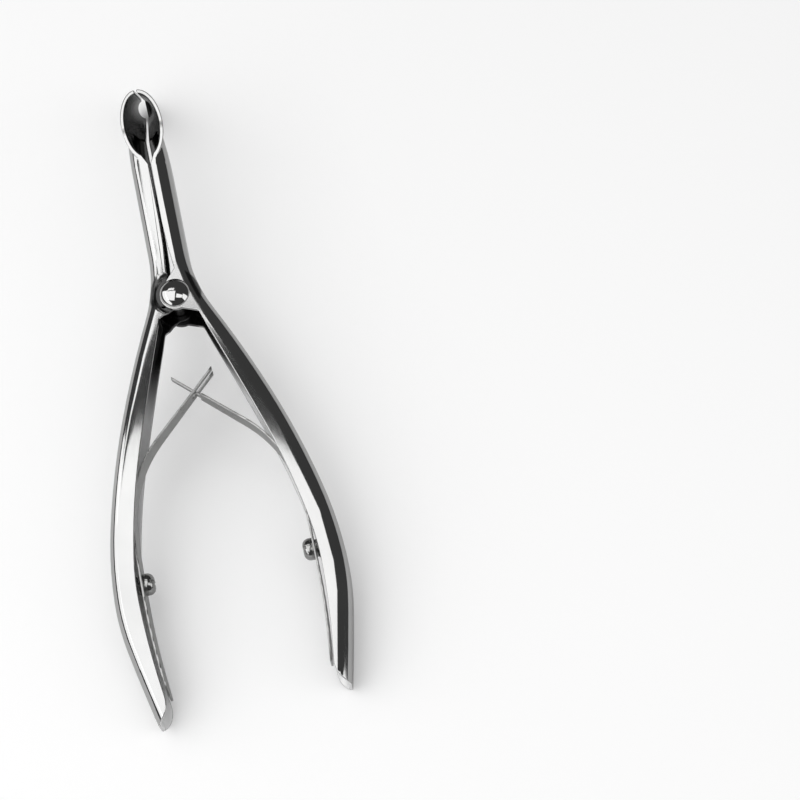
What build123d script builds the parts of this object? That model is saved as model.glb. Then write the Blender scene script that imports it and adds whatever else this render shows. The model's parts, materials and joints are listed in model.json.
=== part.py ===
"""Nasal speculum: two pressed branches on one rivet, kept closed by two crossed leaf springs.

Modelled with the rivet axis on Z, the funnel towards +Y and its mouth up, then laid on the table.
All sizes are in millimetres.
"""
import os
from math import pi

from build123d import *

# Whole lengths from the rivet: back to the handle ends, forward to the funnel, then along the blades
HANDLE_LONG = 98.3
NECK_LONG = 45.5
BLADE_RUN = 17.8
BLADE_DROP = 27.0
# Pressed branch
SHEET = 0.9
HEIGHT = 11.5
SHOULDER = 3.2
SLIT = 0.25
HALF = HEIGHT / 2
FLOOR = HALF - SHEET
# Outer side of a branch in plan, as tangent arcs: straight neck, then down the handle by shares of its length
NECK_SIDE = (4.6, NECK_LONG - 12.2)
NECK_FOOT = (4.6, 11.3)
NECK_END = (3.6, NECK_LONG + 1.8)
SPARE = 3.6
PAST_END = 1 + SPARE / HANDLE_LONG
SIDE_SHARES = [(8.0, 0.043), (17.3, 0.276), (24.3, 0.531), (26.2, 0.699), (25.2, 0.821), (20.5, PAST_END)]
SIDE = [NECK_SIDE, NECK_FOOT] + [(x, -share * HANDLE_LONG) for x, share in SIDE_SHARES]
# Free edge of the flanges in plan, as tangent arcs from the ear down
EDGE_SHARES = [(5.8, 0.094), (14.3, 0.363), (19.9, 0.618), (20.5, 0.719), (17.1, PAST_END)]
EDGE = [(x, -share * HANDLE_LONG) for x, share in EDGE_SHARES]
EDGE_HEADING = (0.32, -0.947)
EDGE_ROUND_LONG = 5.6
EAR_CORNER = (4.6, -5.4)
EAR_CORNER_ROUND = 1.0
EAR_APEX = (1.0, 6.2)
NECK_OPEN = (0.45, 12.3)
SLIT_RUN = 6.0
RIGHT_EAR = [(-2.5, 2.2)]
LEFT_EAR = [(1.9, 2.9), (1.0, 4.4)]
RIGHT_LOBE = 3.8
RIGHT_LOBE_AT = (0.25, -0.35)
LEFT_LOBE = 3.3
LEFT_LOBE_AT = (0.0, 0.0)
# Funnel and blades
MOUTH = (NECK_LONG, HALF)
TIP = (NECK_LONG + BLADE_RUN, HALF - BLADE_DROP)
MOUTH_LONG = 8.0
MOUTH_WIDE = 5.0
TIP_LONG = 3.1
TIP_WIDE = 2.5
NOTCH_LONG = 5.2
NOTCH_Y = NECK_LONG - 12.0
NOTCH_WIDE = 2.4
# Rivet and nested ears: the left pair is pressed inward, under the right pair
EAR_GAP = 0.06
DISH_RADIUS = 4.6
DISH_RAMP = 1.1
RIVET = 4.0
RIVET_FIT = 0.03
DOME = 7.0
DOME_RISE = 1.8
DOME_GAP = 0.03
# Spring screws
SCREW_Y = -0.668 * HANDLE_LONG
HEAD = 5.0
HEAD_RISE = 2.3
HEAD_ROUND = 1.5
SLOT_WIDE = 0.8
SLOT_DEEP = 0.8
COLLAR = 4.0
THREAD = 2.6
SCREW_FIT = 0.05
SEAT_GAP = 0.15
# Leaf springs, as tangent arcs from a flat seat at the screw
LEAF = 0.5
LEAF_X = 19.5
SEAT_HALF = 4.0
LEAF_FOOT = (18.0, -0.938 * HANDLE_LONG)
LEAF_BEND = [(18.9, -0.516 * HANDLE_LONG), (10.0, -0.333 * HANDLE_LONG)]
LEAF_TIP_X = -4.8
LEAF_SIDE = 0.85
LEAF_WIDE = HEIGHT - 2 * SHEET - 2 * LEAF_SIDE
LEAF_TIP = 4.4
LEAF_END = 4.0
BEVEL = 3.0
TAPER_START = 8.0
FORK_SLOT = 2.0
TONGUE = 1.5
CROSS_ROOM = 1.2
# Larger than the whole instrument, for half spaces
BIG = 300.0


def tangent_chain(points, heading, inset=0.0):
    """Tangent arcs and lines through the points, all moved to the right of their run by inset."""
    run = Vector(*heading).normalized()
    edges = []
    for start, end in zip(points, points[1:]):
        chord = (Vector(*end) - Vector(*start)).normalized()
        after = chord * (2 * chord.dot(run)) - run
        first = Vector(*start) + Vector(run.Y, -run.X) * inset
        last = Vector(*end) + Vector(after.Y, -after.X) * inset
        if chord.dot(run) > 1 - 1e-9:
            edges.append(Line(first, last))
        else:
            edges.append(TangentArc(first, last, tangent=run))
        run = after
    return edges


def side_chain(inset):
    """Outer side of the right branch in plan, moved inward by inset, from the handle end to the funnel."""
    down = tangent_chain(SIDE, (0, -1), inset)
    up = tangent_chain([NECK_SIDE, NECK_END], (0, 1), -inset)
    return list(reversed(down)) + up


def slab(face, half_height):
    """Face on the XY plane raised equally up and down."""
    return extrude(face, amount=half_height, both=True)


def branch_plan(ear_points, lobe, lobe_at):
    """Plan of the flanges of the right branch with its ear; ear_points lead from the lobe to the slit."""
    side = side_chain(0)
    edge = tangent_chain(EDGE, EDGE_HEADING)
    run = [EDGE[0], EAR_CORNER, (0.4, 0.05 - lobe)] + ear_points
    run = run + [EAR_APEX, NECK_OPEN, (SLIT, NECK_OPEN[1] + SLIT_RUN), (SLIT, NECK_END[1]), NECK_END]
    face = make_face(side + edge + [Line(SIDE[-1], EDGE[-1]), Polyline(*run)])
    face = face + Pos(*lobe_at) * Circle(lobe)
    face = fillet(face.vertices().sort_by_distance((EAR_CORNER[0], EAR_CORNER[1], 0))[0], EAR_CORNER_ROUND)
    return face - handle_end()


def bend_edges(solid, chain, level):
    """The edges of a solid that follow a plan chain at plus and minus a level."""
    found = []
    for piece in chain:
        middle = piece @ 0.5
        for height in (level, -level):
            found.append(solid.edges().sort_by_distance((middle.X, middle.Y, height))[0])
    return found


def channel(plan):
    """Outside and hollow of the pressed trough: web, two flanges and flat ears, with round shoulders."""
    outer = slab(plan, HALF)
    outer = fillet(bend_edges(outer, side_chain(0), HALF), SHOULDER)
    wall = side_chain(SHEET)
    end = wall[0] @ 1
    start = wall[-1] @ 1
    far = -HEIGHT
    hollow = make_face(wall + [Polyline((end.X, end.Y), (far, end.Y), (far, start.Y), (start.X, start.Y))])
    inner = slab(hollow, FLOOR)
    inner = fillet(bend_edges(inner, wall, FLOOR), SHOULDER - SHEET)
    return outer, inner


def funnel(inset, first, last):
    """Tapered tube along the blade axis, from share first to share last of its length."""
    faces = []
    for share in (first, last):
        spot = Plane(origin=(0, MOUTH[0] + BLADE_RUN * share, MOUTH[1] - BLADE_DROP * share), x_dir=(1, 0, 0),
                     z_dir=(0, BLADE_RUN, -BLADE_DROP))
        wide = MOUTH_WIDE + (TIP_WIDE - MOUTH_WIDE) * share - inset
        long = MOUTH_LONG + (TIP_LONG - MOUTH_LONG) * share - inset
        faces.append(spot * Ellipse(wide, long))
    return loft(faces, ruled=True)


def side_x(y):
    """Half width of the branch's outer side at a given y."""
    for piece in side_chain(0):
        low = min((piece @ 0).Y, (piece @ 1).Y)
        high = max((piece @ 0).Y, (piece @ 1).Y)
        if low <= y <= high:
            ray = Line((0, y), (5 * HEIGHT, y))
            return piece.intersect(ray).vertices()[0].X
    return SIDE[-1][0]


def handle_end():
    """Plan of what is cut from the handle end, so that the flanges run out to the web in one round."""
    chain = tangent_chain(EDGE, EDGE_HEADING)
    last = chain[-1]
    start_y = EDGE_ROUND_LONG - HANDLE_LONG
    share = (start_y - (last @ 0).Y) / ((last @ 1).Y - (last @ 0).Y)
    start = last @ share
    tip_x = side_x(-HANDLE_LONG)
    arc = TangentArc((start.X, start.Y), (tip_x, -HANDLE_LONG), tangent=last % share)
    away = -HANDLE_LONG - 2 * SPARE
    rest = Polyline((tip_x, -HANDLE_LONG), (tip_x + SPARE, -HANDLE_LONG), (tip_x + SPARE, away), (0, away),
                    (0, start.Y), (start.X, start.Y))
    return make_face([arc, rest])


def mouth_notch():
    """Cutter that draws the mouth of the funnel out to the slit of the neck, through the top only."""
    far_y = NOTCH_Y + NOTCH_LONG
    shape = make_face(Polyline((0, NOTCH_Y), (NOTCH_WIDE, far_y), (0, far_y + 2), (0, NOTCH_Y)))
    return extrude(shape, amount=HEIGHT)


def ear_dish():
    """Room above the ears of the left branch, for the ears of the right branch to lie in."""
    low = FLOOR - EAR_GAP
    profile = Polyline((0, 0, low), (DISH_RADIUS, 0, low), (DISH_RADIUS + DISH_RAMP, 0, HALF),
                       (DISH_RADIUS + DISH_RAMP, 0, HEIGHT), (0, 0, HEIGHT), (0, 0, low))
    dish = revolve(make_face(profile), axis=Axis.Z)
    return dish + mirror(dish, about=Plane.XY)


def sunk_ears(outer):
    """Pair of ears pressed inward around the rivet by one sheet and the gap, within the outside of the branch."""
    low = FLOOR - EAR_GAP
    bend = SHEET * 0.35
    ramp_end = DISH_RADIUS + DISH_RAMP
    profile = Polyline((0, 0, low - SHEET), (DISH_RADIUS + bend, 0, low - SHEET), (ramp_end + bend, 0, FLOOR),
                       (ramp_end + bend, 0, HALF), (ramp_end, 0, HALF), (DISH_RADIUS, 0, low), (0, 0, low),
                       (0, 0, low - SHEET))
    ear = revolve(make_face(profile), axis=Axis.Z) & outer
    return ear + mirror(ear, about=Plane.XY)


def branch(sunk):
    """Right branch as one pressed sheet, with flat ears or with ears sunk below the other pair."""
    if sunk:
        plan = branch_plan(LEFT_EAR, LEFT_LOBE, LEFT_LOBE_AT)
    else:
        plan = branch_plan(RIGHT_EAR, RIGHT_LOBE, RIGHT_LOBE_AT)
    outer, inner = channel(plan)
    tube = funnel(0, -0.3, 1.0)
    bore = funnel(SHEET, -0.34, 1.04)
    below_mouth = Pos(0, 0, HALF - BIG / 2) * Box(BIG, BIG, BIG)
    right_half = Pos(SLIT + BIG / 2, 0, 0) * Box(BIG, BIG, BIG)
    body = (outer - inner) + ((tube & below_mouth) & right_half)
    body = body - (inner & (Pos(BIG / 2, BIG / 2 + NECK_OPEN[1], 0) * Box(BIG, BIG, BIG)))
    body = body - bore
    body = body - mouth_notch()
    if sunk:
        body = body - ear_dish()
        body = body + sunk_ears(outer)
    body = body - Cylinder(RIVET / 2 + RIVET_FIT, 3 * HEIGHT)
    return body - screw_hole(THREAD / 2 + SCREW_FIT)


def screw_hole(radius):
    """Cutter along the axis of the spring screw."""
    spot = Plane(origin=(LEAF_X, SCREW_Y, 0), x_dir=(0, 1, 0), z_dir=(1, 0, 0))
    return extrude(spot * Circle(radius), amount=HEIGHT, both=True)


def rivet():
    """Through rivet with a low dome on both ends."""
    seat = HALF + DOME_GAP
    ball = (DOME * DOME / 4 + DOME_RISE * DOME_RISE) / (2 * DOME_RISE)
    head = Pos(0, 0, seat + DOME_RISE - ball) * Sphere(ball)
    head = head & Pos(0, 0, seat + DOME / 2) * Box(2 * DOME, 2 * DOME, DOME)
    return Cylinder(RIVET / 2, 2 * seat) + head + mirror(head, about=Plane.XY)


def leaf_runs(inset):
    """Leaf of the right handle in plan, moved by inset: its run to the foot, its seat and its run to the tip."""
    low = (LEAF_X, SCREW_Y - SEAT_HALF)
    high = (LEAF_X, SCREW_Y + SEAT_HALF)
    down = tangent_chain([low, LEAF_FOOT], (0, -1), -inset)
    bends = [high] + LEAF_BEND
    up = tangent_chain(bends, (0, 1), inset)
    seat = Line(down[0] @ 0, up[0] @ 0)
    run = up[-1] % 1
    long = (up[-1] @ 1).X - LEAF_TIP_X
    tip = Line(up[-1] @ 1, (up[-1] @ 1) + run * (long / -run.X))
    return down + [seat] + up + [tip]


def leaf_band():
    """Leaf of the right handle at full width, bent along its path."""
    near = leaf_runs(LEAF / 2)
    far = leaf_runs(-LEAF / 2)
    ends = [Line(near[0] @ 1, far[0] @ 1), Line(near[-1] @ 1, far[-1] @ 1)]
    return slab(make_face(near + far + ends), LEAF_WIDE)


def crossing():
    """Place along the instrument where the two leaves cross."""
    tip = leaf_runs(0)[-1]
    share = (tip @ 0).X / ((tip @ 0).X - (tip @ 1).X)
    return (tip @ share).Y


def leaf_profile(tip_half):
    """Side view of a leaf: bevelled foot, full width at the screw, tapered, then tip_half beyond the crossing."""
    foot = LEAF_FOOT[1] - 1
    full = LEAF_WIDE / 2
    neck = LEAF_TIP / 2
    narrow = crossing() - CROSS_ROOM
    half = [(foot, LEAF_END / 2), (foot + 1 + BEVEL, full), (SCREW_Y + TAPER_START, full), (narrow, neck)]
    half = half + [(narrow, tip_half), (0, tip_half)]
    if tip_half == neck:
        half = half[:3] + half[4:]
    mirrored = [(y, -z) for y, z in reversed(half)]
    face = make_face(Polyline(*half, *mirrored, half[0]))
    return extrude(Plane.YZ * face, amount=BIG, both=True)


def tongued_leaf():
    """Leaf that ends in a narrow tongue."""
    leaf = leaf_band() & leaf_profile(TONGUE / 2)
    return leaf - screw_hole(THREAD / 2 + 3 * SCREW_FIT)


def forked_leaf():
    """Leaf that ends in a fork with a slot for the tongue."""
    leaf = leaf_band() & leaf_profile(LEAF_TIP / 2)
    start = crossing() - CROSS_ROOM + FORK_SLOT / 2
    slot = Pos(start / 2, 0) * Rectangle(-start, FORK_SLOT) + Pos(start, 0) * Circle(FORK_SLOT / 2)
    leaf = leaf - extrude(Plane.YZ * slot, amount=BIG, both=True)
    return leaf - screw_hole(THREAD / 2 + 3 * SCREW_FIT)


def spring_screw():
    """Slotted screw with a collar that holds the leaf off the web."""
    seat = LEAF / 2 + SCREW_FIT
    spot = Plane(origin=(LEAF_X, SCREW_Y, 0), x_dir=(0, 1, 0), z_dir=(1, 0, 0))
    outside = side_x(SCREW_Y) - LEAF_X
    web = outside - SHEET - SEAT_GAP
    head = Cylinder(HEAD / 2, HEAD_RISE, align=(Align.CENTER, Align.CENTER, Align.MAX))
    head = fillet(head.edges().filter_by(GeomType.CIRCLE).sort_by(Axis.Z)[0], HEAD_ROUND)
    head = Pos(0, 0, -seat) * (head - Pos(0, 0, -HEAD_RISE) * Box(SLOT_WIDE, 2 * HEAD, 2 * SLOT_DEEP))
    collar = Pos(0, 0, seat) * Cylinder(COLLAR / 2, web - seat, align=(Align.CENTER, Align.CENTER, Align.MIN))
    shank = Pos(0, 0, -seat) * Cylinder(THREAD / 2, outside + seat - SCREW_FIT,
                                        align=(Align.CENTER, Align.CENTER, Align.MIN))
    return spot * (head + collar + shank)


def lowest(solid, angle):
    """Lowest height of a solid turned about X by an angle."""
    return (Rot(angle, 0, 0) * solid).bounding_box().min.Z


def resting_tilt(solid):
    """Angle that lays the blade tip and the handle end of a branch on one level, in degrees."""
    blade = solid & Pos(0, NECK_LONG + BIG / 2, 0) * Box(BIG, BIG, BIG)
    handle = solid & Pos(0, SCREW_Y - BIG / 2, 0) * Box(BIG, BIG, BIG)
    angle = BLADE_DROP / (HANDLE_LONG + NECK_LONG + BLADE_RUN) * 180 / pi
    reach = (HANDLE_LONG + NECK_LONG) * pi / 180
    for turn in range(6):
        angle = angle - (lowest(blade, angle) - lowest(handle, angle)) / reach
    return angle


def pieces():
    """All pieces in the working position, by name."""
    right_leaf = tongued_leaf()
    left_leaf = mirror(forked_leaf(), about=Plane.YZ)
    screw = spring_screw()
    return {
        "left_branch": mirror(branch(True), about=Plane.YZ),
        "right_branch": branch(False),
        "pivot_rivet": rivet(),
        "left_spring": left_leaf,
        "right_spring": right_leaf,
        "left_spring_screw": mirror(screw, about=Plane.YZ),
        "right_spring_screw": screw,
    }


def laid_down(solids):
    """Turns the pieces to rest on the table, with the origin under the middle of their box."""
    angle = resting_tilt(solids["right_branch"])
    turn = Rot(angle, 0, 0)
    turned = {name: turn * solid for name, solid in solids.items()}
    box = Compound(children=[Compound(solid.solids()) for solid in turned.values()]).bounding_box()
    middle = box.center()
    shift = Pos(-middle.X, -middle.Y, -box.min.Z)
    print("tilt", round(angle, 4), "pivot", shift.position)
    return {name: shift * solid for name, solid in turned.items()}


def main():
    """Builds, lays down and writes every piece."""
    os.makedirs("parts", exist_ok=True)
    for name, solid in laid_down(pieces()).items():
        body = solid.solids()
        print(name, len(body), round(sum(one.volume for one in body), 1))
        export_step(body[0], f"parts/{name}.step")


if __name__ == "__main__":
    main()
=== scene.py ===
"""Dresses the nasal speculum: pressed branches, a domed rivet, two leaf springs and their screws."""
import json
import logging
import math
from dataclasses import dataclass
from enum import Enum

import bmesh
import bpy
from mathutils import Euler, Matrix, Vector


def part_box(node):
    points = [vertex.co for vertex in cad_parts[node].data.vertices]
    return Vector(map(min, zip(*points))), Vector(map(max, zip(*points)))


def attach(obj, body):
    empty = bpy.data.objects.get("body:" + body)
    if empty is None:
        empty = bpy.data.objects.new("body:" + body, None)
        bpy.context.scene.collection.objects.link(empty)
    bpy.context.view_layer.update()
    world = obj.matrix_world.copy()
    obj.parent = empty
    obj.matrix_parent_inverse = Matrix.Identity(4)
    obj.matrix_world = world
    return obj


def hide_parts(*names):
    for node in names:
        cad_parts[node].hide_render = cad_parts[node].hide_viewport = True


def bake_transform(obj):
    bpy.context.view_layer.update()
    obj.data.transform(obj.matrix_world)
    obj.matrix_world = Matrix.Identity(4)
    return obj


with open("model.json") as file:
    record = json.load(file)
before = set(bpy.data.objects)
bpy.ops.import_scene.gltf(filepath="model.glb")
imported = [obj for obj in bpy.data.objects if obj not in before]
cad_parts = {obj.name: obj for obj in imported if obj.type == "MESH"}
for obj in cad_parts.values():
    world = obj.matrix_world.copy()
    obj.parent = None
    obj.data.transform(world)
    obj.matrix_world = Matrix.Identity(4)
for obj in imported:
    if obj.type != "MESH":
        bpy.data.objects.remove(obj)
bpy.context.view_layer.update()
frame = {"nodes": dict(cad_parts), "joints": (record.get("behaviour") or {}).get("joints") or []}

MM = 0.001
UP = (0.0, 0.0, 1.0)
WHITE = (1, 1, 1, 1)
# Corners of facets closer than this, in metres, are one corner
SEAM = 0.000002
# Where cloud noise is at its darkest and its palest, and where it is at its smoothest and its roughest
COLOUR_ENDS = (0.32, 0.68)
GLOSS_ENDS = (0.3, 0.7)
# Share of the fine lines in the gloss; the clouds have the rest
LINE_SHARE = 0.4
LOG = logging.getLogger("speculum")

Socket = bpy.types.NodeSocket
Triple = tuple[float, float, float]
Pair = tuple[float, float]


class Half(Enum):
    """The two halves that turn on the rivet."""

    LEFT = "left_half"
    RIGHT = "right_half"


class Slot(Enum):
    """Material slots of the part."""

    POLISHED = "polished_steel"
    SPRING = "spring_steel"
    SCREW = "screw_steel"


@dataclass(frozen=True)
class Lie:
    """How the instrument lies: a place on it, in mm from the rivet, becomes a place in the shared frame."""

    pivot: Vector
    tilt: float

    @classmethod
    def from_joint(cls, joint: dict) -> "Lie":
        """Reads the rivet's place and lean.

        Args:
            joint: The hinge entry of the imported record.

        Returns:
            The lie of the instrument.
        """
        axis = joint["axis"]
        return cls(Vector(joint["pos_m"]), math.atan2(axis[1], -axis[2]))

    def turn(self) -> Matrix:
        """The lean as a rotation matrix."""
        return Matrix.Rotation(self.tilt, 4, "X")

    def place(self, x: float, y: float, z: float) -> Vector:
        """Moves one point into the shared frame.

        Args:
            x: Millimetres to the right of the rivet.
            y: Millimetres towards the funnel.
            z: Millimetres up along the rivet.

        Returns:
            The point in metres.
        """
        return self.turn() @ (Vector((x, y, z)) * MM) + self.pivot


class NodeSheet:
    """A small helper around a node tree."""

    def __init__(self, tree: bpy.types.NodeTree) -> None:
        """Empties the tree.

        Args:
            tree: The node tree to fill.
        """
        self.tree = tree
        tree.nodes.clear()

    def add(self, kind: str, values: dict | None = None, **settings: object) -> bpy.types.Node:
        """Adds one node.

        Args:
            kind: The node's type name.
            values: Values or sources for input sockets, by name or number.
            settings: Properties of the node itself.

        Returns:
            The new node.
        """
        node = self.tree.nodes.new(kind)
        for key, value in settings.items():
            setattr(node, key, value)
        for key, value in (values or {}).items():
            self.feed(node.inputs[key], value)
        return node

    def link(self, source: Socket, target: Socket) -> None:
        """Joins two sockets."""
        self.tree.links.new(source, target)

    def feed(self, socket: Socket, source: object) -> None:
        """Gives a socket a link, or a plain value.

        Args:
            socket: The input socket.
            source: Another socket, a number or a vector.
        """
        if isinstance(source, Socket):
            self.link(source, socket)
        else:
            socket.default_value = source

    def number(self, operation: str, first: object, second: object = 0.0) -> Socket:
        """Works out one number from one or two.

        Args:
            operation: The name of the sum.
            first: First value or socket.
            second: Second value or socket, where the sum takes two.

        Returns:
            The result.
        """
        return self.add("ShaderNodeMath", {0: first, 1: second}, operation=operation).outputs[0]

    def vector(self, operation: str, first: object, second: object) -> Socket:
        """Works out a vector, or a dot product, from two vectors.

        Args:
            operation: The name of the sum.
            first: First vector or socket.
            second: Second vector or socket.

        Returns:
            The result.
        """
        node = self.add("ShaderNodeVectorMath", {0: first, 1: second}, operation=operation)
        return node.outputs["Value" if operation == "DOT_PRODUCT" else "Vector"]

    def step(self, source: Socket, start: float, end: float, low: float = 0.0, high: float = 1.0) -> Socket:
        """Goes from one level to another while a value goes from start to end.

        Args:
            source: The value.
            start: Where the step begins.
            end: Where the step ends.
            low: Level before the step.
            high: Level after the step.

        Returns:
            The level.
        """
        ends = {"Value": source, "From Min": start, "From Max": end, "To Min": low, "To Max": high}
        return self.add("ShaderNodeMapRange", ends).outputs[0]

    def mix(self, share: Socket, first: object, second: object) -> Socket:
        """Mixes two colours, or two numbers kept as colours.

        Args:
            share: How much of the second.
            first: The first.
            second: The second.

        Returns:
            The mixture.
        """
        parts = {"Fac": share, "Color1": first, "Color2": second}
        return self.add("ShaderNodeMixRGB", parts).outputs["Color"]

    def ramp(self, source: Socket, low: Triple, high: Triple, ends: Pair) -> Socket:
        """Turns a value into a colour between two ends.

        Args:
            source: The value.
            low: Colour at the first end.
            high: Colour at the second end.
            ends: The values at the two ends.

        Returns:
            The colour socket.
        """
        node = self.add("ShaderNodeValToRGB", {"Fac": source})
        for stop, position, colour in zip(node.color_ramp.elements, ends, (low, high)):
            stop.position = position
            stop.color = (*colour, 1)
        return node.outputs[0]


@dataclass(frozen=True)
class SteelFinish:
    """A steel surface: cloudy colour, uneven gloss, a long wave of the polish and fine lines."""

    slot: Slot
    dark: Triple
    pale: Triple
    gloss: Pair
    cloud_scale: float
    wave_scale: float
    wave_height: float
    line_scale: Triple
    line_height: float

    def build(self) -> bpy.types.Material:
        """Makes the material.

        Returns:
            The finished material, named for its slot.
        """
        material = bpy.data.materials.new(self.slot.value)
        material.use_nodes = True
        sheet = NodeSheet(material.node_tree)
        out = sheet.add("ShaderNodeOutputMaterial")
        steel = sheet.add("ShaderNodeBsdfPrincipled", {"Metallic": 1.0})
        sheet.link(steel.outputs[0], out.inputs[0])
        place = sheet.add("ShaderNodeTexCoord").outputs["Object"]
        cloud = sheet.add("ShaderNodeTexNoise", {"Vector": place, "Scale": self.cloud_scale, "Detail": 4.0,
                                                 "Roughness": 0.55}).outputs[0]
        colour = sheet.ramp(cloud, self.dark, self.pale, COLOUR_ENDS)
        lines = self.lines(sheet, place)
        uneven = sheet.number("ADD", sheet.number("MULTIPLY", lines, LINE_SHARE),
                              sheet.number("MULTIPLY", cloud, 1 - LINE_SHARE))
        shine = sheet.step(uneven, *GLOSS_ENDS, *self.gloss)
        for name, source in self.zones(sheet, colour, shine).items():
            sheet.link(source, steel.inputs[name])
        sheet.link(self.relief(sheet, place, lines), steel.inputs["Normal"])
        return material

    def zones(self, sheet: NodeSheet, colour: Socket, shine: Socket) -> dict[str, Socket]:
        """Changes the finish from zone to zone; a plain piece has one zone.

        Args:
            sheet: The node tree.
            colour: Colour of the metal.
            shine: Its roughness.

        Returns:
            What goes into each socket of the steel.
        """
        return {"Base Color": colour, "Roughness": shine}

    def lines(self, sheet: NodeSheet, place: Socket) -> Socket:
        """Fine drawn-out lines.

        Args:
            sheet: The node tree.
            place: Object coordinates.

        Returns:
            The value of the lines.
        """
        stretch = sheet.add("ShaderNodeMapping", {"Vector": place, "Scale": self.line_scale})
        grain = sheet.add("ShaderNodeTexNoise", {"Vector": stretch.outputs[0], "Scale": 1.0, "Detail": 3.0,
                                                 "Roughness": 0.6})
        return grain.outputs[0]

    def relief(self, sheet: NodeSheet, place: Socket, lines: Socket) -> Socket:
        """Bumps of the polish and the lines.

        Args:
            sheet: The node tree.
            place: Object coordinates.
            lines: The value of the lines.

        Returns:
            The bumped normal.
        """
        wave = sheet.add("ShaderNodeTexNoise", {"Vector": place, "Scale": self.wave_scale, "Detail": 2.0,
                                                "Roughness": 0.5})
        broad = sheet.add("ShaderNodeBump", {"Strength": 1.0, "Distance": self.wave_height,
                                             "Height": wave.outputs[0]})
        fine = sheet.add("ShaderNodeBump", {"Strength": 1.0, "Distance": self.line_height, "Height": lines,
                                            "Normal": broad.outputs[0]})
        return fine.outputs[0]


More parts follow.
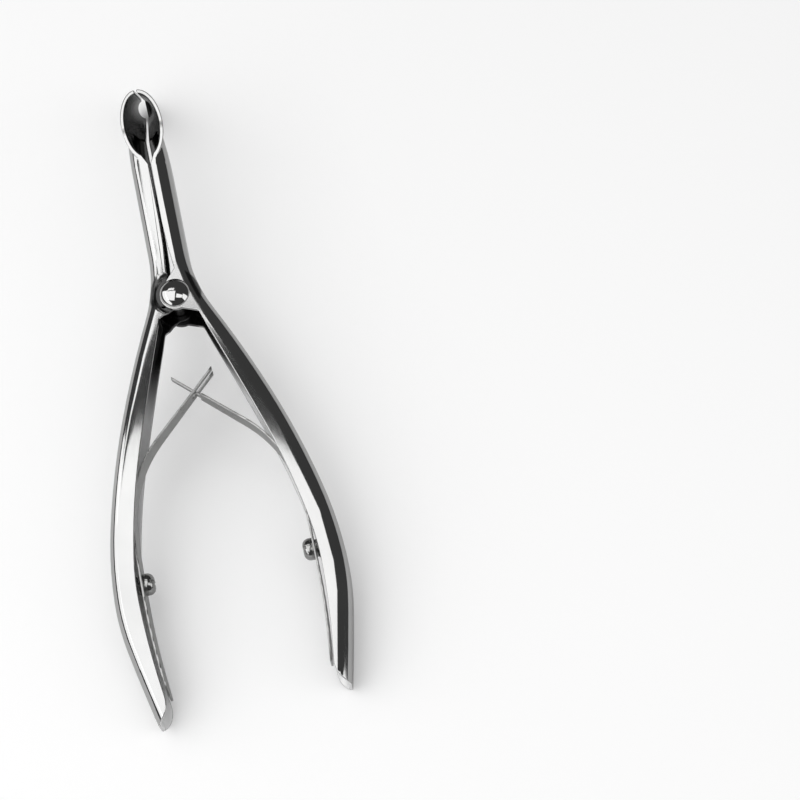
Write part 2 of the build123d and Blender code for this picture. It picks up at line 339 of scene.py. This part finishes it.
@dataclass(frozen=True)
class PressedFinish(SteelFinish):
    """Polished outside; painted shade in funnel, neck and pivot recess; painted pale inside the handles.

    Lengths are in mm from the rivet. A pair of them is where one zone begins to give way to the next, and
    where it has given way.
    """

    lie: Lie
    half_height: float = 5.75
    thickness: float = 0.9
    mouth: Triple = (0.0, 45.5, 5.75)
    funnel_heading: Triple = (0.0, 17.8, -27.0)
    funnel_lead: Pair = (3.0, 1.0)
    channel_clear: Pair = (0.8, 2.0)
    funnel_clear: Pair = (0.3, 0.8)
    edge_over_floor: Pair = (0.1, 0.04)
    # The recess under the upper ear takes the painted shade
    recess_reach: Pair = (6.3, 5.9)
    recess_upward: Pair = (0.5, 0.7)
    recess_under_floor: float = 0.15
    recess_under_top: float = 0.3
    recess_soft: float = 0.05
    ear_reach: Pair = (9.5, 7.0)
    ear_upward: Pair = (0.985, 0.995)
    ear_gloss: float = 0.15
    # Inside the handles a painted pale with less metal stands in for reflected light; towards the pivot,
    # neck and funnel it gives way to painted shade
    pale_to_dark: Pair = (-26.0, -12.0)
    painted_inside_tone: Pair = (0.85, 0.10)
    inner_gloss: Pair = (0.5, 0.24)
    inner_metal: Pair = (0.25, 1.0)

    def zones(self, sheet: NodeSheet, colour: Socket, shine: Socket) -> dict[str, Socket]:
        """Paints shade and light into the inside and the recess, roughens them, and gives the ears' flat its
        own gloss.

        Args:
            sheet: The node tree.
            colour: Colour of the polished metal.
            shine: Its roughness.

        Returns:
            What goes into each socket of the steel.
        """
        source = sheet.add("ShaderNodeTexCoord").outputs
        lay = {"Vector": source["Object"], "Location": self.lie.pivot, "Rotation": (self.lie.tilt, 0, 0),
               "Scale": (MM, MM, MM)}
        place = sheet.add("ShaderNodeMapping", lay, vector_type="TEXTURE").outputs[0]
        unturn = {"Vector": source["Normal"], "Rotation": (-self.lie.tilt, 0, 0)}
        facing = sheet.add("ShaderNodeMapping", unturn, vector_type="VECTOR").outputs[0]
        spot = sheet.add("ShaderNodeSeparateXYZ", {0: place}).outputs
        inside = self.inside(sheet, place, facing, spot["Y"], spot["Z"])
        # Where the inside and the recess get the painted tone, a rougher gloss and less metal
        dull_and_painted = sheet.number("MAXIMUM", inside, self.recess(sheet, place, facing, spot["Z"]))
        tone = sheet.step(spot["Y"], *self.pale_to_dark, *self.painted_inside_tone)
        rough = sheet.step(spot["Y"], *self.pale_to_dark, *self.inner_gloss)
        metal = sheet.step(spot["Y"], *self.pale_to_dark, *self.inner_metal)
        satin = sheet.mix(self.ear_flat(sheet, place, facing), shine, (self.ear_gloss,) * 3 + (1,))
        return {"Base Color": sheet.mix(dull_and_painted, colour, tone), "Roughness": sheet.mix(dull_and_painted, satin, rough),
                "Metallic": sheet.mix(dull_and_painted, WHITE, metal)}

    def inside(self, sheet: NodeSheet, place: Socket, facing: Socket, along: Socket,
               height: Socket) -> Socket:
        """Finds the faces that look at the middle of the handles and neck, or of the funnel, which get a
        painted tone.

        Args:
            sheet: The node tree.
            place: Places in mm from the rivet.
            facing: Directions of the faces.
            along: Places along the instrument.
            height: Heights over the middle.

        Returns:
            1 inside and 0 outside.
        """
        inner = []
        for start, heading, clear in (((0.0, 0.0, 0.0), (0.0, 1.0, 0.0), self.channel_clear),
                                      (self.mouth, self.funnel_heading, self.funnel_clear)):
            arm = sheet.vector("SUBTRACT", place, start)
            out = sheet.vector("SUBTRACT", arm, sheet.vector("PROJECT", arm, heading))
            inner.append(sheet.step(sheet.vector("DOT_PRODUCT", facing, out), -clear[0], -clear[1]))
        floor = self.half_height - self.thickness
        off_middle = sheet.number("ABSOLUTE", height)
        below_edge = sheet.step(off_middle, *(floor + over for over in self.edge_over_floor))
        in_channel = sheet.number("MULTIPLY", inner[0], below_edge)
        in_funnel = sheet.step(along, *(self.mouth[1] - lead for lead in self.funnel_lead))
        return sheet.mix(in_funnel, in_channel, inner[1])

    def recess(self, sheet: NodeSheet, place: Socket, facing: Socket, height: Socket) -> Socket:
        """Finds what lies sunk round the rivet, under the upper ear, which gets painted shade.

        Args:
            sheet: The node tree.
            place: Places in mm from the rivet.
            facing: Directions of the faces.
            height: Heights over the middle.

        Returns:
            1 in the recess and 0 elsewhere.
        """
        floor = self.half_height - self.thickness
        up = sheet.vector("DOT_PRODUCT", facing, UP)
        limit = sheet.step(up, *self.recess_upward, floor - self.recess_under_floor,
                           self.half_height - self.recess_under_top)
        low = sheet.step(sheet.number("SUBTRACT", limit, height), -self.recess_soft, self.recess_soft)
        near = sheet.step(self.reach(sheet, place), *self.recess_reach)
        return sheet.number("MULTIPLY", low, near)

    def ear_flat(self, sheet: NodeSheet, place: Socket, facing: Socket) -> Socket:
        """Finds the flat round the rivet, which is ground and not buffed.

        Args:
            sheet: The node tree.
            place: Places in mm from the rivet.
            facing: Directions of the faces.

        Returns:
            1 on the flat and 0 elsewhere.
        """
        up = sheet.step(sheet.vector("DOT_PRODUCT", facing, UP), *self.ear_upward)
        near = sheet.step(self.reach(sheet, place), *self.ear_reach)
        return sheet.number("MULTIPLY", up, near)

    def reach(self, sheet: NodeSheet, place: Socket) -> Socket:
        """Distance from the rivet's axis.

        Args:
            sheet: The node tree.
            place: Places in mm from the rivet.

        Returns:
            The distance in mm.
        """
        flat = sheet.vector("MULTIPLY", place, (1.0, 1.0, 0.0))
        return sheet.number("SQRT", sheet.vector("DOT_PRODUCT", flat, flat))


LIE = Lie.from_joint(frame["joints"][0])
POLISHED = PressedFinish(
    slot=Slot.POLISHED, dark=(0.55, 0.55, 0.548), pale=(0.61, 0.61, 0.606), gloss=(0.05, 0.10),
    cloud_scale=60.0, wave_scale=140.0, wave_height=0.000008, line_scale=(2600.0, 180.0, 2600.0),
    line_height=0.0000008, lie=LIE)
SPRING = SteelFinish(
    slot=Slot.SPRING, dark=(0.42, 0.42, 0.415), pale=(0.53, 0.53, 0.522), gloss=(0.24, 0.36),
    cloud_scale=220.0, wave_scale=400.0, wave_height=0.000006, line_scale=(300.0, 5200.0, 4200.0),
    line_height=0.000008)
SCREW = SteelFinish(
    slot=Slot.SCREW, dark=(0.36, 0.36, 0.355), pale=(0.50, 0.50, 0.494), gloss=(0.10, 0.22),
    cloud_scale=500.0, wave_scale=600.0, wave_height=0.000006, line_scale=(4200.0, 900.0, 900.0),
    line_height=0.000003)


@dataclass(frozen=True)
class BrokenEdge:
    """A small rounding of sharp edges, with even shading of the faces between them."""

    width: float
    segments: int
    sharper_than: float
    face_weight: int = 80

    def dress(self, piece: bpy.types.Object) -> None:
        """Adds the rounding and the shading to a piece.

        Args:
            piece: The piece to finish.
        """
        edges = piece.modifiers.new("edges", "BEVEL")
        edges.width = self.width * MM
        edges.segments = self.segments
        edges.limit_method = "ANGLE"
        edges.angle_limit = math.radians(self.sharper_than)
        edges.use_clamp_overlap = False
        shading = piece.modifiers.new("shading", "WEIGHTED_NORMAL")
        shading.weight = self.face_weight


@dataclass
class RigidPiece:
    """A rigid CAD piece that keeps its shape and gets rounded edges and a steel finish."""

    node: str
    edge_round: float
    short_edge: float
    edge_segments: int = 3
    edge_angle: float = 38.0
    flat_angle: float = 0.4

    def build(self) -> bpy.types.Object:
        """Closes the seams between the facets, breaks the edges and evens the shading.

        Returns:
            The CAD object.
        """
        piece = frame["nodes"][self.node]
        piece.data.shade_smooth()
        seams = piece.modifiers.new("seams", "WELD")
        seams.merge_threshold = SEAM
        flats = piece.modifiers.new("flats", "DECIMATE")
        flats.decimate_type = "DISSOLVE"
        flats.angle_limit = math.radians(self.flat_angle)
        slivers = piece.modifiers.new("slivers", "WELD")
        slivers.mode = "CONNECTED"
        slivers.merge_threshold = self.short_edge * MM
        BrokenEdge(self.edge_round, self.edge_segments, self.edge_angle).dress(piece)
        return piece

    def dress(self, piece: bpy.types.Object, material: bpy.types.Material) -> None:
        """Gives the piece its finish.

        Args:
            piece: The CAD object.
            material: The steel to put on it.
        """
        piece.data.materials.clear()
        piece.data.materials.append(material)


@dataclass
class LeafSpring:
    """A spring strip between the halves; on the instrument it bends as they turn."""

    node: str
    piece_name: str
    half_span: float = 19.5
    cut_step: float = 1.5
    cut_gap: float = 0.0005
    edge_round: float = 0.06
    edge_segments: int = 1
    edge_angle: float = 50.0
    flat_angle: float = 0.5

    def build(self) -> bpy.types.Object:
        """Copies the strip, merges it and cuts it across.

        Returns:
            The new piece.
        """
        shape = bmesh.new()
        shape.from_mesh(frame["nodes"][self.node].data)
        bmesh.ops.remove_doubles(shape, verts=shape.verts, dist=SEAM)
        bmesh.ops.dissolve_limit(shape, angle_limit=math.radians(self.flat_angle), verts=shape.verts,
                                 edges=shape.edges)
        low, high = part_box(self.node)
        cuts = int((high.y - low.y) / (self.cut_step * MM))
        for cut in range(1, cuts):
            level = low.y + (high.y - low.y) * cut / cuts
            bmesh.ops.bisect_plane(shape, geom=shape.verts[:] + shape.edges[:] + shape.faces[:],
                                   dist=self.cut_gap * MM, plane_co=(0, level, 0), plane_no=(0, 1, 0))
        mesh = bpy.data.meshes.new(self.piece_name)
        shape.to_mesh(mesh)
        shape.free()
        mesh.shade_smooth()
        piece = bpy.data.objects.new(self.piece_name, mesh)
        bpy.context.scene.collection.objects.link(piece)
        return piece

    def dress(self, piece: bpy.types.Object, material: bpy.types.Material) -> None:
        """Breaks the sheared edges, sets the finish, hides the CAD strip and bakes the piece's placement
        into its mesh.

        Args:
            piece: The strip.
            material: The steel to put on it.
        """
        BrokenEdge(self.edge_round, self.edge_segments, self.edge_angle).dress(piece)
        piece.data.materials.append(material)
        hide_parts(self.node)
        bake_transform(piece)


@dataclass
class ScrewThread:
    """Thread ridge on the spring screw, between the strip and the web of the handle."""

    piece_name: str
    half: Half
    side: int
    lie: Lie
    screw_y: float = -65.66
    start_x: float = 20.15
    end_x: float = 24.8
    core: float = 1.95
    crest: float = 2.28
    pitch: float = 0.62
    flank_share: float = 0.42
    steps_per_turn: int = 28

    def build(self) -> bpy.types.Object:
        """Winds a pointed ridge round the screw.

        Returns:
            The new piece.
        """
        shape = bmesh.new()
        centre = self.lie.place(self.side * self.start_x, self.screw_y, 0)
        flank = self.pitch * self.flank_share * MM
        first = [shape.verts.new(centre + Vector((-flank, 0, self.core * MM))),
                 shape.verts.new(centre + Vector((0, 0, self.crest * MM))),
                 shape.verts.new(centre + Vector((flank, 0, self.core * MM)))]
        profile = [shape.edges.new((first[i], first[(i + 1) % 3])) for i in range(3)]
        turns = (self.end_x - self.start_x) / self.pitch
        steps = int(turns * self.steps_per_turn)
        advance = Vector((self.side * self.pitch * MM / self.steps_per_turn, 0, 0))
        result = bmesh.ops.spin(shape, geom=first + profile, cent=centre, axis=(1, 0, 0), dvec=advance,
                                angle=math.tau * turns, steps=steps, use_merge=False, use_duplicate=False)
        last = [item for item in result["geom_last"] if isinstance(item, bmesh.types.BMVert)]
        bmesh.ops.contextual_create(shape, geom=last)
        bmesh.ops.holes_fill(shape, edges=shape.edges[:], sides=3)
        bmesh.ops.recalc_face_normals(shape, faces=shape.faces)
        mesh = bpy.data.meshes.new(self.piece_name)
        shape.to_mesh(mesh)
        shape.free()
        piece = bpy.data.objects.new(self.piece_name, mesh)
        bpy.context.scene.collection.objects.link(piece)
        return piece

    def dress(self, piece: bpy.types.Object, material: bpy.types.Material) -> None:
        """Gives the ridge its finish and its half.

        Args:
            piece: The ridge.
            material: The steel to put on it.
        """
        piece.data.materials.append(material)
        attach(piece, self.half.value)


@dataclass(frozen=True)
class SoftBox:
    """A rectangular lamp with a diffusing front; by default it looks down, turned like the camera."""

    name: str
    centre: Triple
    width: float
    height: float
    facing: Triple = (0, 0, -1)
    along: Triple = (0.955, -0.296, 0)
    level: float = 1.5

    def build(self) -> bpy.types.Object:
        """Hangs the lamp.

        Returns:
            The lamp object.
        """
        lamp = bpy.data.lights.new(self.name, "AREA")
        lamp.shape = "RECTANGLE"
        lamp.size = self.width
        lamp.size_y = self.height
        lamp.energy = self.level * math.pi * self.width * self.height
        back = -Vector(self.facing).normalized()
        right = Vector(self.along).normalized()
        turn = Matrix((right, back.cross(right), back)).transposed().to_4x4()
        item = bpy.data.objects.new(self.name, lamp)
        item.matrix_world = Matrix.Translation(self.centre) @ turn
        bpy.context.scene.collection.objects.link(item)
        return item


@dataclass
class Studio:
    """Pale table, dim surround, soft lamps and the camera."""

    lie: Lie
    table_size: float = 3.0
    table_tone: float = 0.95
    table_in_steel: float = 0.62
    table_white: float = 0.66
    shade_reach: float = 0.05
    shade_depth: float = 2.5
    shade_samples: int = 4
    ambient: float = 0.33
    dim: float = 0.06
    roof: float = 0.44
    eye: Triple = (25.67, -202.49, 459.69)
    eye_turn: Triple = (20.0123, 1.9705, -12.1835)
    lens: float = 96.165
    film: float = 36.0
    nearest: float = 0.01

    def build(self) -> None:
        """Builds the whole studio."""
        self.table()
        self.surround()
        self.lamps()
        self.camera()

    def table(self) -> bpy.types.Object:
        """Pale plain table top.

        Returns:
            The table object.
        """
        shape = bmesh.new()
        bmesh.ops.create_grid(shape, x_segments=1, y_segments=1, size=self.table_size)
        mesh = bpy.data.meshes.new("table")
        shape.to_mesh(mesh)
        shape.free()
        mesh.materials.append(self.paper())
        top = bpy.data.objects.new("table", mesh)
        bpy.context.scene.collection.objects.link(top)
        return top

    def paper(self) -> bpy.types.Material:
        """The table's surface: white to the camera but for the shade near the part, and greyer in the steel.

        Returns:
            The material.
        """
        material = bpy.data.materials.new("pale_table")
        material.use_nodes = True
        sheet = NodeSheet(material.node_tree)
        out = sheet.add("ShaderNodeOutputMaterial")
        seen = sheet.add("ShaderNodeLightPath").outputs["Is Camera Ray"]
        tone = sheet.step(seen, 0.0, 1.0, self.table_in_steel, self.table_tone)
        lit = sheet.add("ShaderNodeBsdfDiffuse", {"Color": tone})
        white = sheet.add("ShaderNodeEmission", {"Color": WHITE, "Strength": 1.0})
        shade = sheet.add("ShaderNodeAmbientOcclusion", {"Distance": self.shade_reach},
                          samples=self.shade_samples)
        clear = sheet.number("POWER", shade.outputs["AO"], self.shade_depth)
        share = sheet.number("MULTIPLY", seen, sheet.number("MULTIPLY", clear, self.table_white))
        both = sheet.add("ShaderNodeMixShader", {0: share, 1: lit.outputs[0], 2: white.outputs[0]})
        sheet.link(both.outputs[0], out.inputs[0])
        return material

    def surround(self) -> None:
        """Low even light all round, and a dim room where polished steel looks past the lamps."""
        world = bpy.data.worlds.new("surround")
        world.use_nodes = True
        bpy.context.scene.world = world
        sheet = NodeSheet(world.node_tree)
        out = sheet.add("ShaderNodeOutputWorld")
        mirrored = sheet.add("ShaderNodeLightPath").outputs["Is Glossy Ray"]
        level = sheet.step(mirrored, 0.0, 1.0, self.ambient, self.dim)
        room = sheet.add("ShaderNodeBackground", {"Color": WHITE, "Strength": level})
        sheet.link(room.outputs[0], out.inputs[0])

    def lamps(self) -> None:
        """Soft boxes above, set apart so that the shoulders by the pivot stay dark, and one on each side."""
        for lamp in (
            SoftBox("left_roof", (-0.348, -0.126, self.roof), 0.65, 0.594),
            SoftBox("left_back_roof", (-0.477, 0.268, self.roof), 0.29, 0.081),
            SoftBox("back_strip", (-0.230, 0.255, self.roof), 0.19, 0.119),
            SoftBox("neck_roof", (-0.059, 0.205, self.roof), 0.165, 0.113),
            SoftBox("left_wall", (-0.58, -0.305, 0.285), 1.37, 0.31, facing=(1, 0, 0), along=(0, 1, 0)),
            SoftBox("right_roof", (0.268, -0.234, self.roof), 0.45, 0.21),
            SoftBox("right_wall", (0.52, -0.275, 0.25), 0.35, 0.38, facing=(-1, 0, 0), along=(0, 1, 0)),
        ):
            lamp.build()
            LOG.info("lamp %s", lamp.name)

    def camera(self) -> bpy.types.Object:
        """Camera above the handles, looking along the instrument.

        Returns:
            The camera object.
        """
        data = bpy.data.cameras.new("camera")
        data.sensor_width = self.film
        data.lens = self.lens
        data.clip_start = self.nearest
        item = bpy.data.objects.new("camera", data)
        turn = Euler([math.radians(angle) for angle in self.eye_turn], "XYZ").to_matrix().to_4x4()
        item.matrix_world = Matrix.Translation(self.lie.place(*self.eye)) @ self.lie.turn() @ turn
        bpy.context.scene.collection.objects.link(item)
        bpy.context.scene.camera = item
        return item


@dataclass
class Speculum:
    """The whole instrument."""

    lie: Lie

    def build(self) -> None:
        """Builds and dresses every piece."""
        polished, spring, screw = (finish.build() for finish in (POLISHED, SPRING, SCREW))
        for rigid, material in (
            (RigidPiece("left_branch", edge_round=0.2, short_edge=0.26), polished),
            (RigidPiece("right_branch", edge_round=0.2, short_edge=0.22), polished),
            (RigidPiece("pivot_rivet", edge_round=0.05, short_edge=0.01), polished),
            (RigidPiece("left_spring_screw", edge_round=0.05, short_edge=0.01), screw),
            (RigidPiece("right_spring_screw", edge_round=0.05, short_edge=0.01), screw),
        ):
            rigid.dress(rigid.build(), material)
            LOG.info("piece %s", rigid.node)
        for leaf in (
            LeafSpring("left_spring", "left_spring_leaf"),
            LeafSpring("right_spring", "right_spring_leaf"),
        ):
            leaf.dress(leaf.build(), spring)
            LOG.info("piece %s", leaf.piece_name)
        for thread in (
            ScrewThread("left_screw_thread", Half.LEFT, -1, self.lie),
            ScrewThread("right_screw_thread", Half.RIGHT, 1, self.lie),
        ):
            thread.dress(thread.build(), screw)
            LOG.info("piece %s", thread.piece_name)


def main() -> None:
    """Builds the instrument and the studio."""
    logging.basicConfig(level=logging.INFO, format="%(name)s %(message)s")
    bpy.context.scene.view_settings.view_transform = "Standard"
    Speculum(LIE).build()
    Studio(LIE).build()


if __name__ == "__main__":
    main()
